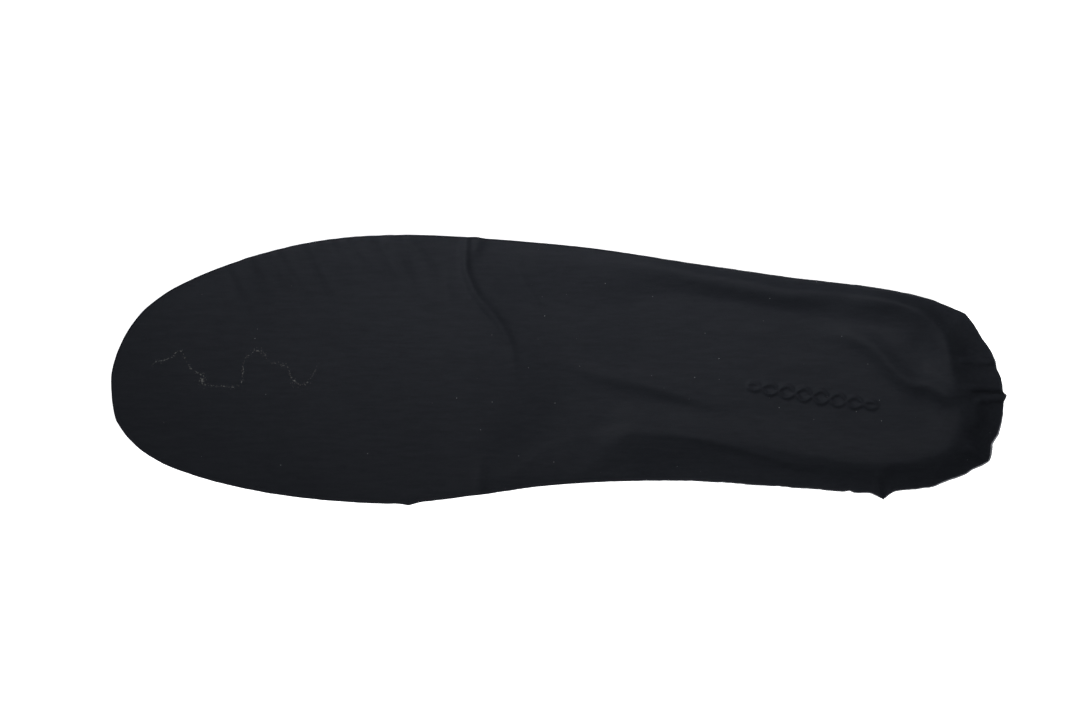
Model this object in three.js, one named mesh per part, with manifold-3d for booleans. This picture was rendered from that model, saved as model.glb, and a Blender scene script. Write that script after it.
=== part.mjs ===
// A cushioned insole for a right shoe, EU size 42, as a laminate of separate pieces.
// Millimetres. +X runs from the toe to the heel, +Y to the outer (lateral) side of the foot,
// +Z up. The origin is at the middle of the underside.
//
// From the bottom up: a lining cloth, a moulded foam footbed with a soft insert under the ball
// of the foot and another under the heel, a three-quarter comfort pad, a cookie of foam under
// the arch, a thin foam backing and the leather cover. Behind the ball of the foot the cover
// is wider than the pad, so its margin drops off the pad into a gutter and turns up as a wall.
import * as THREE from "three";
import { mergeVertices } from "three/addons/utils/BufferGeometryUtils.js";
import Module from "manifold-3d";

const wasm = await Module();
wasm.setup();

// ---- driving dimensions ----
const COVER_THICK = 1.1; // leather
const BACKING_THICK = 1.2; // soft foam behind the leather
const PAD_THICK = 1.6; // three-quarter comfort pad
const CLOTH_THICK = 0.5; // lining under the footbed
const GLUE = 0.1; // every bond line
const BED_TOE = 2.0; // footbed thickness under the forefoot
const BED_HEEL = 4.6; // footbed thickness under the heel
const BED_RAMP = [-30, 62]; // x where the footbed starts and stops thickening
const SKIVE = 0.2; // thinnest edge of a skived piece
const ROLL = 7; // width over which the pad's edge is rounded down
const SPINE = [new THREE.Vector2(-104, -2), new THREE.Vector2(110, -8)];
const STATION = 8; // spacing of the grid's cross-sections along the spine
const CAP_RAYS = 12; // grid steps round each end
const PAD_FRONT = { edge: -29, dip: 16, spread: 36 }; // the pad's scooped front edge
const HEEL_INSERT = { x: 104, y: -9, long: 25, wide: 19 };
const BALL_INSERT = { x: -78, y: 1, long: 33, wide: 28 };
const INSERT_FIT = 0.4; // clearance round an insert
const INSERT_INSET = 0.2; // how far the heel insert stays above the ground
const COOKIE = { from: -10, to: 78 }; // x range of the arch cookie

// ---- the cover's rim, from the toe along the outer side, round the heel and back ----
// x, y, rise of the rim above the gutter, margin from rim to gutter, inset of the footbed
const RIM = [
  [-148.9, -7, 0, 4, 0.4],
  [-145.5, 9, 0, 4, 0.4],
  [-133.8, 23.4, 0, 4, 0.4],
  [-110, 35, 0, 4, 0.4],
  [-80, 42.8, 0, 4, 0.4],
  [-50, 44.9, 0, 4, 0.4],
  [-20, 43.4, 0.2, 3.6, 0.7],
  [12, 40.4, 0.6, 3.2, 1.1],
  [36, 36.7, 1.1, 3.1, 1.3],
  [56, 33.7, 1.7, 3.7, 1.6],
  [78, 30.6, 2.3, 4.4, 2],
  [104, 27.5, 2.5, 3.6, 2],
  [122, 23.9, 3.5, 4.8, 2.8],
  [136, 17.6, 6.2, 10, 5],
  [145.6, 3.6, 8.5, 15.5, 7.5],
  [148.4, -12, 9, 15.5, 7.5],
  [144.8, -27, 7.2, 13, 6],
  [134.2, -35.5, 4.8, 10, 5],
  [108, -41, 4.2, 10, 4.2],
  [78, -39.3, 4.3, 12, 3.8],
  [40, -37, 4.6, 16, 3],
  [0, -38.4, 1.4, 16, 1.6],
  [-30, -42.3, 0.2, 8, 0.6],
  [-57.8, -44.7, 0, 4, 0.4],
  [-95, -41.4, 0, 4, 0.4],
  [-125.8, -33.7, 0, 4, 0.4],
  [-142.5, -23.5, 0, 4, 0.4],
];
const RIM_SAMPLES = 500;

const smooth = THREE.MathUtils.smoothstep;
const mix = THREE.MathUtils.lerp;

// The rim as a dense closed polygon that also carries the interpolated rise, margin and inset.
function sampleRim() {
  const closed = (points) => new THREE.CatmullRomCurve3(points, true, "catmullrom", 0.5);
  const place = closed(RIM.map(([x, y, rise]) => new THREE.Vector3(x, y, rise)));
  const width = closed(RIM.map((r) => new THREE.Vector3(r[3], r[4], 0)));
  return Array.from({ length: RIM_SAMPLES }, (_, i) => {
    const at = place.getPoint(i / RIM_SAMPLES);
    const wide = width.getPoint(i / RIM_SAMPLES);
    return {
      point: new THREE.Vector2(at.x, at.y),
      rise: Math.max(0, at.z),
      margin: wide.x,
      inset: wide.y,
    };
  });
}
const rim = sampleRim();

// Where the ray from a spine point leaves the rim, with the rim's values there.
function rimAlong(origin, direction) {
  for (let i = 0; i < rim.length; i++) {
    const a = rim[i];
    const b = rim[(i + 1) % rim.length];
    const edge = b.point.clone().sub(a.point);
    const gap = a.point.clone().sub(origin);
    const across = direction.cross(edge);
    const distance = gap.cross(edge) / across;
    const share = gap.cross(direction) / across;
    if (distance > 0 && share >= 0 && share <= 1)
      return {
        distance,
        rise: mix(a.rise, b.rise, share),
        margin: mix(a.margin, b.margin, share),
        inset: mix(a.inset, b.inset, share),
      };
  }
  throw new Error("a ray misses the rim");
}

// ---- heights ----
const bedTop = (x) =>
  CLOTH_THICK + GLUE + mix(BED_TOE, BED_HEEL, smooth(x, ...BED_RAMP));

// x of the pad's front edge: it reaches furthest forward at both sides.
const padFront = (y) =>
  PAD_FRONT.edge + PAD_FRONT.dip * Math.max(0, 1 - (y / PAD_FRONT.spread) ** 2);

// How fully the pad lifts the cover, 0 off it to 1 on it, at depth inside its gutter.
function padLift(x, y, depth) {
  const behind = smooth(x, padFront(y) - ROLL / 2, padFront(y) + ROLL / 2);
  return behind * smooth(depth, 0, ROLL);
}

// The wall's profile from gutter (0) to rim (1): straight at the sides, flared out at the heel.
function wallProfile(share, x) {
  const start = 0.15;
  const end = mix(1.15, 0.4, smooth(x, 112, 142));
  const s = share;
  return (3 - 2 * s) * s * s + start * s * (1 - s) ** 2 - end * s * s * (1 - s);
}

// Top of the leather at a point that lies depthIn from the rim found by rimAlong.
function coverTop(x, y, depthIn, edge) {
  const stack = GLUE + BACKING_THICK + GLUE + COVER_THICK;
  const lift = (PAD_THICK + GLUE) * padLift(x, y, depthIn - edge.margin);
  const share = Math.max(0, 1 - depthIn / edge.margin);
  return bedTop(x) + stack + lift + edge.rise * wallProfile(share, x);
}

// ---- the grid that every layer shares, so that their facets match ----
// Rings run from the rim (0) to the spine (last); RING names those where a layer ends.
const RING = { bed: 2, gutter: 5, pad: 6 };
const ringDepths = ({ distance, margin, inset }) => [
  0,
  inset / 2,
  inset,
  mix(inset, margin, 0.4),
  mix(inset, margin, 0.78),
  margin,
  margin + ROLL * 0.35,
  margin + ROLL,
  mix(margin + ROLL, distance, 0.5),
];

function makeGrid() {
  const [toe, heel] = SPINE;
  const along = heel.clone().sub(toe);
  const stations = Math.round(along.length() / STATION);
  const left = new THREE.Vector2(0, 1);
  const spine = Array.from({ length: stations + 1 }, (_, i) =>
    toe.clone().addScaledVector(along, i / stations),
  );
  const rays = [];
  const cap = (centre, from) => {
    for (let i = 1; i < CAP_RAYS; i++)
      rays.push({ at: centre, turn: from - (Math.PI * i) / CAP_RAYS });
  };
  for (let i = 0; i <= stations; i++) rays.push({ at: i, turn: Math.PI / 2 });
  cap(stations, Math.PI / 2);
  for (let i = stations; i >= 0; i--) rays.push({ at: i, turn: -Math.PI / 2 });
  cap(0, -Math.PI / 2);

  const points = [];
  const addPoint = (x, y, depth, edge) => {
    // The pad's front edge is a grid line, so the lines near it bend with it.
    const near = Math.max(0, 1 - Math.abs(x - PAD_FRONT.edge) / 40);
    const bent = x + (padFront(y) - PAD_FRONT.edge) * near;
    points.push({ x: bent, y, top: coverTop(bent, y, depth, edge), edge, depth });
    return points.length - 1;
  };
  for (const ray of rays) {
    const origin = spine[ray.at];
    const direction = left.clone().rotateAround(new THREE.Vector2(), ray.turn - Math.PI / 2);
    const edge = rimAlong(origin, direction);
    ray.ids = ringDepths(edge).map((depth) => {
      const p = origin.clone().addScaledVector(direction, edge.distance - depth);
      return addPoint(p.x, p.y, depth, edge);
    });
    ray.edge = edge;
  }
  const spineIds = spine.map((p, i) =>
    addPoint(p.x, p.y, rays[i].edge.distance, rays[i].edge),
  );

  // Cells as triangles facing up, each with its ring and its mean x and y.
  const cells = [];
  const addCell = (a, b, c, ring) => {
    const [x, y] = ["x", "y"].map((k) => (points[a][k] + points[b][k] + points[c][k]) / 3);
    cells.push({ ids: [a, b, c], ring, x, y });
  };
  rays.forEach((ray, i) => {
    const next = rays[(i + 1) % rays.length];
    const bands = ray.ids.length - 1;
    for (let k = 0; k < bands; k++) {
      addCell(ray.ids[k], ray.ids[k + 1], next.ids[k], k);
      addCell(next.ids[k], ray.ids[k + 1], next.ids[k + 1], k);
    }
    const [a, b] = [spineIds[ray.at], spineIds[next.at]];
    addCell(ray.ids[bands], a, next.ids[bands], bands);
    if (a !== b) addCell(next.ids[bands], a, b, bands);
  });
  return { points, cells, rays };
}
const grid = makeGrid();

// ---- solids ----
// How much deeper a layer measures straight down than through its thickness, at each grid point.
function steepness() {
  const flat = new THREE.BufferGeometry();
  flat.setAttribute(
    "position",
    new THREE.Float32BufferAttribute(grid.points.flatMap((p) => [p.x, p.y, p.top]), 3),
  );
  flat.setIndex(grid.cells.flatMap((c) => c.ids));
  flat.computeVertexNormals();
  return grid.points.map((_, i) => 1 / Math.max(0.45, flat.attributes.normal.getZ(i)));
}
const steep = steepness();
const below = (depth) => (i) => grid.points[i].top - depth * steep[i];

// A closed solid over the chosen cells, between two heights given for each grid point.
function layer(choose, top, bottom) {
  const chosen = grid.cells.filter(choose);
  const places = new Map();
  const positions = [];
  const place = (id, height) => {
    const key = id + (height === top ? "t" : "b");
    if (!places.has(key)) {
      places.set(key, positions.length / 3);
      positions.push(grid.points[id].x, grid.points[id].y, height(id));
    }
    return places.get(key);
  };
  const edges = new Map();
  const index = [];
  for (const { ids } of chosen) {
    index.push(...ids.map((id) => place(id, top)));
    index.push(...[...ids].reverse().map((id) => place(id, bottom)));
    ids.forEach((a, k) => edges.set([a, ids[(k + 1) % 3]].join(), [a, ids[(k + 1) % 3]]));
  }
  for (const [a, b] of edges.values()) {
    if (edges.has([b, a].join())) continue; // an edge inside the layer
    index.push(place(a, top), place(a, bottom), place(b, bottom));
    index.push(place(a, top), place(b, bottom), place(b, top));
  }
  const made = new THREE.BufferGeometry();
  made.setAttribute("position", new THREE.Float32BufferAttribute(positions, 3));
  made.setIndex(index);
  return made;
}

function ellipse({ x, y, long, wide }, grow) {
  const shape = new THREE.Shape();
  shape.absellipse(x, y, long + grow, wide + grow, 0, 2 * Math.PI);
  return shape;
}

function prism(shape, low, high, segments = 24) {
  const made = new THREE.ExtrudeGeometry(shape, {
    depth: high - low,
    bevelEnabled: false,
    curveSegments: segments,
  });
  return made.translate(0, 0, low);
}

function toSolid(geometry) {
  const bare = geometry.clone();
  bare.deleteAttribute("normal");
  bare.deleteAttribute("uv");
  const merged = mergeVertices(bare, 1e-4);
  return new wasm.Manifold(
    new wasm.Mesh({
      numProp: 3,
      vertProperties: merged.attributes.position.array,
      triVerts: new Uint32Array(merged.index.array),
    }),
  );
}

function cut(geometry, ...tools) {
  const left = tools.reduce((solid, tool) => solid.subtract(toSolid(tool)), toSolid(geometry));
  const { vertProperties, triVerts } = left.getMesh();
  const made = new THREE.BufferGeometry();
  made.setAttribute("position", new THREE.BufferAttribute(vertProperties, 3));
  made.setIndex(new THREE.BufferAttribute(triVerts, 1));
  return made;
}

// ---- materials ----
const finish = (color, roughness) =>
  new THREE.MeshStandardMaterial({ color, roughness, metalness: 0 });
const LEATHER = finish(0x1f2023, 0.5);
const BACKING = finish(0x3a3b3d, 0.9);
const PAD = finish(0x9a978e, 0.9);
const BED = finish(0x2c2d30, 0.85);
const INSERT = finish(0x50606c, 0.6);
const COOKIE_FOAM = finish(0x77746c, 0.9);
const CLOTH = finish(0x26272a, 0.95);

// ---- sub-parts ----
const insole = new THREE.Group();
function add(name, geometry, material) {
  const mesh = new THREE.Mesh(geometry, material);
  mesh.name = name;
  insole.add(mesh);
}

const BACKING_BOTTOM = COVER_THICK + GLUE + BACKING_THICK;
const onBed = (gap) => (i) => bedTop(grid.points[i].x) + gap;
const flat = (height) => () => height;

function topCover() {
  return layer(() => true, below(0), below(COVER_THICK));
}

// It stays clear of the footbed where the gutter presses it down.
function coverBacking() {
  const inside = (cell) => cell.ring >= RING.bed;
  const bottom = (i) => Math.max(below(BACKING_BOTTOM)(i), onBed(GLUE)(i));
  return layer(inside, below(COVER_THICK + GLUE), bottom);
}

// A wedge fills what is left between the footbed and the backing, out to a thin skived edge.
function wedge(choose) {
  const top = below(BACKING_BOTTOM + GLUE);
  const bottom = onBed(GLUE);
  const thick = (i) => top(i) - bottom(i) > SKIVE;
  return layer((cell) => choose(cell) && cell.ids.every(thick), top, bottom);
}

function comfortPad() {
  return wedge(({ ring }) => ring >= RING.pad);
}

// Under the turned-up wall, between the footbed's edge and the gutter.
function archCookie() {
  const { from, to } = COOKIE;
  const underWall = ({ ring }) => ring >= RING.bed && ring < RING.gutter;
  return wedge((cell) => underWall(cell) && cell.y < 0 && cell.x > from && cell.x < to);
}

function footbed() {
  const bottom = CLOTH_THICK + GLUE;
  const whole = layer((cell) => cell.ring >= RING.bed, onBed(0), flat(bottom));
  const hole = (insert) => prism(ellipse(insert, INSERT_FIT), -1, bedTop(SPINE[1].x) + 1);
  return cut(whole, hole(HEEL_INSERT), hole(BALL_INSERT));
}

function bottomCloth() {
  const outline = new THREE.Shape(
    grid.rays.map(({ ids }) => {
      const p = grid.points[ids[RING.bed]];
      return new THREE.Vector2(p.x, p.y);
    }),
  );
  outline.holes.push(ellipse(HEEL_INSERT, INSERT_FIT));
  return prism(outline, 0, CLOTH_THICK);
}

function heelInsert() {
  return prism(ellipse(HEEL_INSERT, 0), INSERT_INSET, bedTop(HEEL_INSERT.x));
}

function ballInsert() {
  return prism(ellipse(BALL_INSERT, 0), CLOTH_THICK + GLUE, bedTop(BALL_INSERT.x));
}

add("top_cover", topCover(), LEATHER);
add("cover_backing", coverBacking(), BACKING);
add("comfort_pad", comfortPad(), PAD);
add("footbed", footbed(), BED);
add("arch_cookie", archCookie(), COOKIE_FOAM);
add("heel_insert", heelInsert(), INSERT);
add("ball_insert", ballInsert(), INSERT);
add("bottom_cloth", bottomCloth(), CLOTH);

export default insole;
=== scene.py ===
"""A cushioned insole: leather cover, foams, gel inserts and lining cloth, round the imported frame.

Shapes are worked out in millimetres, in the frame's axes (+X to the heel, +Y to the outer side,
+Z up), and scaled to metres when a mesh is made. The outline, the rim's height, the gutter and
the floor of the insole are measured on the frame's own nodes. On top of them this script lays
what a plain solid leaves out: folds, tucks, wrinkles, a pressed mark, cut edges and materials.
"""
import math
import bpy
import numpy as np
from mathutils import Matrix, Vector, noise
from mathutils.geometry import delaunay_2d_cdt
from mathutils.bvhtree import BVHTree


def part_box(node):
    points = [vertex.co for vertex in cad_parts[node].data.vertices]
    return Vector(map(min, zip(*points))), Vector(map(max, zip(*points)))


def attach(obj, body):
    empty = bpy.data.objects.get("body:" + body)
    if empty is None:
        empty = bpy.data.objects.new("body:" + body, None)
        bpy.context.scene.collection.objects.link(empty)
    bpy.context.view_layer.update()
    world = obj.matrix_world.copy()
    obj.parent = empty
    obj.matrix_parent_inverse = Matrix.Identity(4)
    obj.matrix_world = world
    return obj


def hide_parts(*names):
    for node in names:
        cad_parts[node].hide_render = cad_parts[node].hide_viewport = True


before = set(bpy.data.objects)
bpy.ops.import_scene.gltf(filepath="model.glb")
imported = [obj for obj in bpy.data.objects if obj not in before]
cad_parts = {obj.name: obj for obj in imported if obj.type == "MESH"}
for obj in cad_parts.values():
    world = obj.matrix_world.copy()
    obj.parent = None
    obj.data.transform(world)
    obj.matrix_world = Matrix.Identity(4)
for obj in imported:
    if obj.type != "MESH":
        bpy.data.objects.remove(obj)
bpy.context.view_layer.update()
MM = 0.001

# ---- thicknesses and spacings, in mm ----
LEATHER = 1.1
BACKING = 1.2
GLUE = 0.1
SKIVE = 0.2  # thinnest edge of a pared piece
INSERT_FIT = 0.4  # clearance round an insert
OUTLINE_STEP = 0.5  # spacing of the places along an outline
STEP = 0.6  # spacing of the fine grid
FINE_STEP = 0.35  # and of the stretch that carries the pressed mark
SHARP = 50  # degrees past which an edge between two faces is drawn sharp

# ---- the hand-cut edge: x, y, how far out it runs, half its length, sharpness ----
EDGE_MARKS = [
    (149.0, -8.8, 1.1, 2.2, 1.5),
    (149.0, 1.5, -0.5, 6, 1),
    (141.8, 10.4, -0.7, 6, 1),
    (135.4, 18.7, 0.6, 3.5, 1),
    (145.2, -25.2, -1.1, 4, 1),
    (143.9, -30.8, 1.5, 6, 1.4),
    (124, -39.5, 0.8, 9, 1),
    (108.2, -43, 2.3, 4.5, 1.6),
    (97.5, -40.5, -0.5, 1.6, 1),
    (-146.8, -17, 0.8, 9, 1),
    (-49.8, -45, 0.8, 5, 1.5),
    (-27, 44, 0.3, 3, 1),
]

# ---- where the pad under the leather starts: y, x ----
CREASE = [(-46, -27.5), (-28, -26.5), (-18, -20), (-8, -14.5), (3, -13.5), (13.7, -17.5),
          (24, -25.5), (33.3, -29.5), (46, -30)]

# ---- folds in the leather: points, height, half-width, share over which each end fades ----
FOLDS = [
    # the crease in front of the pad, with a second strand at the outer edge
    ([(-30.3, 45), (-30.7, 38), (-30.6, 33), (-29, 29), (-26.4, 24), (-22.6, 19.8), (-19.4, 15.6),
      (-16.6, 11), (-14.8, 5), (-13.8, -6)], -1.15, 1.05, (0.02, 0.55)),
    ([(-26.2, 46), (-27, 41), (-29, 35)], -0.75, 1.5, (0.02, 0.5)),
    ([(-26.4, -43), (-25.8, -34), (-24.5, -25)], -0.5, 1.5, (0.02, 0.7)),
    ([(-14.5, 38.6), (-11.7, 30.3), (-2.9, 15.7)], -0.34, 0.9, (0.3, 0.4)),
    # the broad dip along the outer side and the line at the foot of the arch wall
    ([(8, 35.5), (22, 34.8), (34, 33.4), (44, 31), (52, 28.8), (62, 27.6), (72, 25.6), (82, 24.7),
      (92, 24.9), (102, 24)], -1.05, 2.5, (0.7, 0.3)),
    ([(96, 24.6), (104, 23.8), (112, 22.6), (121, 19.4), (129, 15.5)], -1.2, 2.2, (0.4, 0.3)),
    ([(12, -20.5), (30, -21.2), (45.7, -22.8), (63.8, -27.2), (77.2, -31), (88, -32.6), (100, -33)],
     -0.36, 0.9, (0.4, 0.3)),
    ([(-37, 36), (-36.5, 26), (-33, 17)], -0.22, 1.2, (0.3, 0.4)),
    # the long groove through the waist, and its fainter neighbours
    ([(-6.4, 6.8), (9.3, 0.6), (33.5, -6.2), (48, -10.6), (61.4, -14.6)], -1.5, 2.0, (0.6, 0.3)),
    ([(22, 0.5), (38, -3.4), (54, -8.6)], -0.45, 1.2, (0.4, 0.4)),
    ([(-2, 2), (14, -2.6), (30, -7.6)], -0.25, 1.3, (0.4, 0.4)),
    ([(2, -13), (18, -15), (34, -17.5)], -0.2, 1.5, (0.4, 0.4)),
    ([(40, 14), (58, 12.5), (76, 11)], -0.2, 1.6, (0.4, 0.4)),
    ([(62, 3), (80, 1.5), (96, 0.5)], -0.16, 1.6, (0.4, 0.4)),
    # the fold across the heel that runs out into the tuck at the back
    ([(84, 12), (94, 11.6), (102.5, 9.4), (108, 5), (112.4, 0), (117.9, -4.4), (124, -5.4),
      (129.5, -8.3), (136, -10.5)], -2.0, 2.2, (0.45, 0.12)),
    ([(96, 16.5), (106, 15), (116, 11.5)], 0.3, 3.0, (0.4, 0.4)),
    ([(117, 12), (123, 5), (127, -1)], 0.7, 3.6, (0.4, 0.4)),
    ([(110, -14), (122, -13.5), (131, -15)], 0.2, 3.0, (0.4, 0.4)),
    # tucks in the flap round the back of the heel
    ([(132.8, 3.4), (138, 2.5), (145.5, 2.2)], -0.7, 0.6, (0.2, 0.1)),
    ([(132.8, 5.9), (138, 5.4), (145.5, 5.6)], 0.35, 1.6, (0.3, 0.2)),
    ([(134, -5.6), (141, -6.2), (148.6, -6.8)], -1.2, 0.9, (0.4, 0.02)),
    ([(138, -10.8), (142, -10.1), (149.4, -9.6)], -1.0, 0.8, (0.3, 0.02)),
    ([(136, -8.5), (141, -8.4), (149.4, -8.5)], 0.9, 0.8, (0.35, 0.02)),
    ([(138.5, -11), (140, -15), (139.5, -20)], -0.5, 1.6, (0.3, 0.3)),
    ([(134.0, -24.2), (139, -27.2), (145, -31)], -1.0, 1.5, (0.4, 0.05)),
    ([(104.0, -30), (106.4, -35.5), (107.6, -43.5)], -0.7, 0.9, (0.7, 0.05)),
    ([(107.4, -35), (108.6, -39), (109.2, -43.5)], 0.45, 1.3, (0.6, 0.02)),
    ([(126, -31.5), (128, -34), (130, -38)], -0.3, 1.2, (0.3, 0.2)),
]


def smoothstep(low, high, value):
    t = np.clip((value - low) / (high - low), 0, 1)
    return t * t * (3 - 2 * t)


def mix(a, b, share):
    return a + (b - a) * share


# ---- the outline, from the frame ----
def cad_mesh(node):
    """A node's vertices in mm, and its faces."""
    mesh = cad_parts[node].data
    places = np.empty(3 * len(mesh.vertices))
    mesh.vertices.foreach_get("co", places)
    return places.reshape(-1, 3) / MM, mesh.polygons


def upright_edge(node):
    """The upper corners of a node's upright outer face, in order round it."""
    upright = 0.02  # most that an upright face's normal leans
    long_by_wide = 3.3
    places, faces = cad_mesh(node)
    tops = {}
    for face in faces:
        if abs(face.normal.z) < upright:
            for x, y, z in places[list(face.vertices)]:
                key = (round(x, 2), round(y, 2))
                tops[key] = max(z, tops.get(key, z))
    ring = np.array([(x, y, z) for (x, y), z in tops.items()])
    return ring[np.argsort(np.arctan2(ring[:, 1] * long_by_wide, ring[:, 0]))]


def smooth_loop(points):
    """Evenly spaced places on a smooth closed curve through the points."""
    per_leg = 24
    before, here, after, beyond = (np.roll(points, k, axis=0) for k in (1, 0, -1, -2))
    t = np.linspace(0, 1, per_leg, endpoint=False)[:, None, None]
    curve = 0.5 * (
        2 * here
        + (after - before) * t
        + (2 * before - 5 * here + 4 * after - beyond) * t**2
        + (3 * here - before - 3 * after + beyond) * t**3
    )
    curve = curve.transpose(1, 0, 2).reshape(-1, points.shape[1])
    curve = np.vstack([curve, curve[:1]])
    passed = np.concatenate([[0], np.linalg.norm(np.diff(curve[:, :2], axis=0), axis=1).cumsum()])
    at = np.linspace(0, passed[-1], round(passed[-1] / OUTLINE_STEP), endpoint=False)
    return np.column_stack([np.interp(at, passed, column) for column in curve.T])


def blurred(values, sigma):
    """Values round a closed loop, smoothed over sigma steps."""
    wave = np.fft.rfftfreq(len(values))
    return np.fft.irfft(np.fft.rfft(values) * np.exp(-2 * (math.pi * sigma * wave) ** 2),
                        len(values))


def wobble(x, y, scale, seed):
    """Smooth noise from about -1 to 1."""
    flat = [noise.noise(Vector((a / scale, b / scale, seed))) for a, b in zip(x.flat, y.flat)]
    return np.array(flat).reshape(x.shape)


def hand_cut(loop, marks):
    """The loop pushed in and out where the knife and the tucks did, with a slight waver."""
    tangent = np.roll(loop[:, :2], -1, axis=0) - np.roll(loop[:, :2], 1, axis=0)
    outward = np.column_stack([tangent[:, 1], -tangent[:, 0]])
    outward /= np.linalg.norm(outward, axis=1)[:, None]
    spacing = np.linalg.norm(loop[1, :2] - loop[0, :2])
    xs, ys = loop[:, 0], loop[:, 1]
    push = np.zeros(len(loop))
    index = np.arange(len(loop))
    for x, y, out, half, power in marks:
        nearest = np.hypot(xs - x, ys - y).argmin()
        away = np.abs((index - nearest + len(loop) // 2) % len(loop) - len(loop) // 2) * spacing
        push += out * np.clip(1 - away / half, 0, 1) ** power
    # the toe is cut more evenly than the heel, and the outer side than the arch side
    rough = mix(0.35, 1, smoothstep(-10, 40, xs)) * mix(1, 0.5, smoothstep(0, 20, ys))
    push += 0.22 * rough * wobble(xs, ys, 4.5, 3.1)
    push += 0.12 * rough * wobble(xs, ys, 1.3, 7.7)
    cut = loop.copy()
    cut[:, :2] += outward * push[:, None]
    return cut


RIM = hand_cut(smooth_loop(upright_edge("top_cover")), EDGE_MARKS)
BED = smooth_loop(upright_edge("cover_backing"))


# ---- rays from a spine to the outline, on which every sheet is built ----
def middle(x):
    """The outline's middle at x."""
    near = RIM[np.abs(RIM[:, 0] - x) < 1]
    return (near[near[:, 1] > 0, 1].mean() + near[near[:, 1] < 0, 1].mean()) / 2


def reach(origin, direction, loop):
    """How far the loop is from each origin along its direction, and its third value there."""
    def cross(a, b):
        return a[..., 0] * b[..., 1] - a[..., 1] * b[..., 0]

    start = loop[:, :2]
    edge = (np.roll(start, -1, axis=0) - start)[None]
    gap = start[None] - origin[:, None]
    across = cross(direction[:, None], edge)
    far = cross(gap, edge) / across
    share = cross(gap, direction[:, None]) / across
    hit = (far > 0) & (share >= -1e-9) & (share <= 1 + 1e-9)
    first = np.where(hit, far, np.inf).argmin(axis=1)
    rays = np.arange(len(origin))
    third = mix(loop[first, 2], np.roll(loop[:, 2], -1)[first], share[rays, first])
    return far[rays, first], third


TOE_END, HEEL_END = RIM[:, 0].min() + 45, RIM[:, 0].max() - 38  # of the spine
MARK = {"x": 85, "y": -8.75, "long": 46, "tilt": math.radians(-8.9), "wave": 11.5, "swing": 1.7,
        "groove": 0.46, "depth": 0.75}


def spine_stations():
    """x of the grid's cross-sections, closer together where the mark is pressed in."""
    run_on = 3  # how far past the mark's ends the close spacing goes on
    xs = [TOE_END]
    while xs[-1] < HEEL_END:
        close = abs(xs[-1] - MARK["x"]) < MARK["long"] / 2 + run_on
        xs.append(xs[-1] + (FINE_STEP if close else STEP))
    xs[-1] = HEEL_END
    return np.array(xs)


def make_rays():
    """The spine, then the station, origin and direction of each ray, round the outline."""
    end_radius = 40  # about how far the outline's ends are from the spine's
    xs = spine_stations()
    ends = middle(TOE_END), middle(HEEL_END)
    spine = np.column_stack([xs, np.interp(xs, [TOE_END, HEEL_END], ends)])
    around = round(math.pi * end_radius / STEP)
    turn = math.pi * np.arange(1, around) / around
    last = len(xs) - 1
    station = np.concatenate([np.arange(last + 1), np.full(around - 1, last),
                              np.arange(last, -1, -1), np.zeros(around - 1, int)])
    angle = np.concatenate([np.full(last + 1, math.pi / 2), math.pi / 2 - turn,
                            np.full(last + 1, -math.pi / 2), -math.pi / 2 - turn])
    direction = np.column_stack([np.cos(angle), np.sin(angle)])
    return spine, station, spine[station], direction


SPINE, STATION, ORIGIN, DIRECTION = make_rays()
LENGTH, RIM_Z = reach(ORIGIN, DIRECTION, RIM)
BED_LENGTH, _ = reach(ORIGIN, DIRECTION, BED)
EDGE_XY = ORIGIN + DIRECTION * LENGTH[:, None]
ROUND_BY = np.linalg.norm(np.roll(EDGE_XY, -1, axis=0) - EDGE_XY, axis=1).mean()


# ---- the cover's own heights, measured on the frame ----
def frame_heights(x, y):
    """Height of the frame's cover at each place, or not a number beside it."""
    tree = BVHTree.FromObject(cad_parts["top_cover"], bpy.context.evaluated_depsgraph_get())
    down = Vector((0, 0, -1))
    found = [tree.ray_cast(Vector((a * MM, b * MM, 0.1)), down)[0] for a, b in zip(x.flat, y.flat)]
    return np.array([np.nan if f is None else f.z / MM for f in found]).reshape(x.shape)


def measure_gutter():
    """The gutter's depth inside the edge and its height, its line smoothed round the outline."""
    least_rise = 0.8  # below this there is no gutter to find, and the usual margin stands in
    usual_margin = 4.5
    depths = np.arange(2.5, 19, 0.5)
    places = EDGE_XY[:, None] - DIRECTION[:, None] * depths[None, :, None]
    heights = frame_heights(places[..., 0], places[..., 1])
    lowest = np.nanargmin(heights, axis=1)
    low = heights[np.arange(len(heights)), lowest]
    margin = np.where(RIM_Z - low > least_rise, depths[lowest], usual_margin)
    line_sigma, height_sigma = 5 / ROUND_BY, 3 / ROUND_BY
    return LENGTH - blurred(LENGTH - margin, line_sigma), blurred(low, height_sigma)


MARGIN, GUTTER_Z = measure_gutter()
RISE = np.maximum(0, RIM_Z - GUTTER_Z)
SPINE_Z = frame_heights(SPINE[:, 0], SPINE[:, 1])
HEEL_FROM = 70  # x from which the gutter's floor is level
PAD_LIFT = SPINE_Z.max() - np.median(GUTTER_Z[EDGE_XY[:, 0] > HEEL_FROM])


def pad_front(x, y):
    """0 in front of the pad's edge under the leather, 1 behind it."""
    edge = np.interp(y, *zip(*CREASE))
    soft = mix(12, 9, smoothstep(2, 26, y))  # the step is tighter towards the outer side
    return smoothstep(-0.25 * soft, 1.75 * soft, x - edge)


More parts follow.
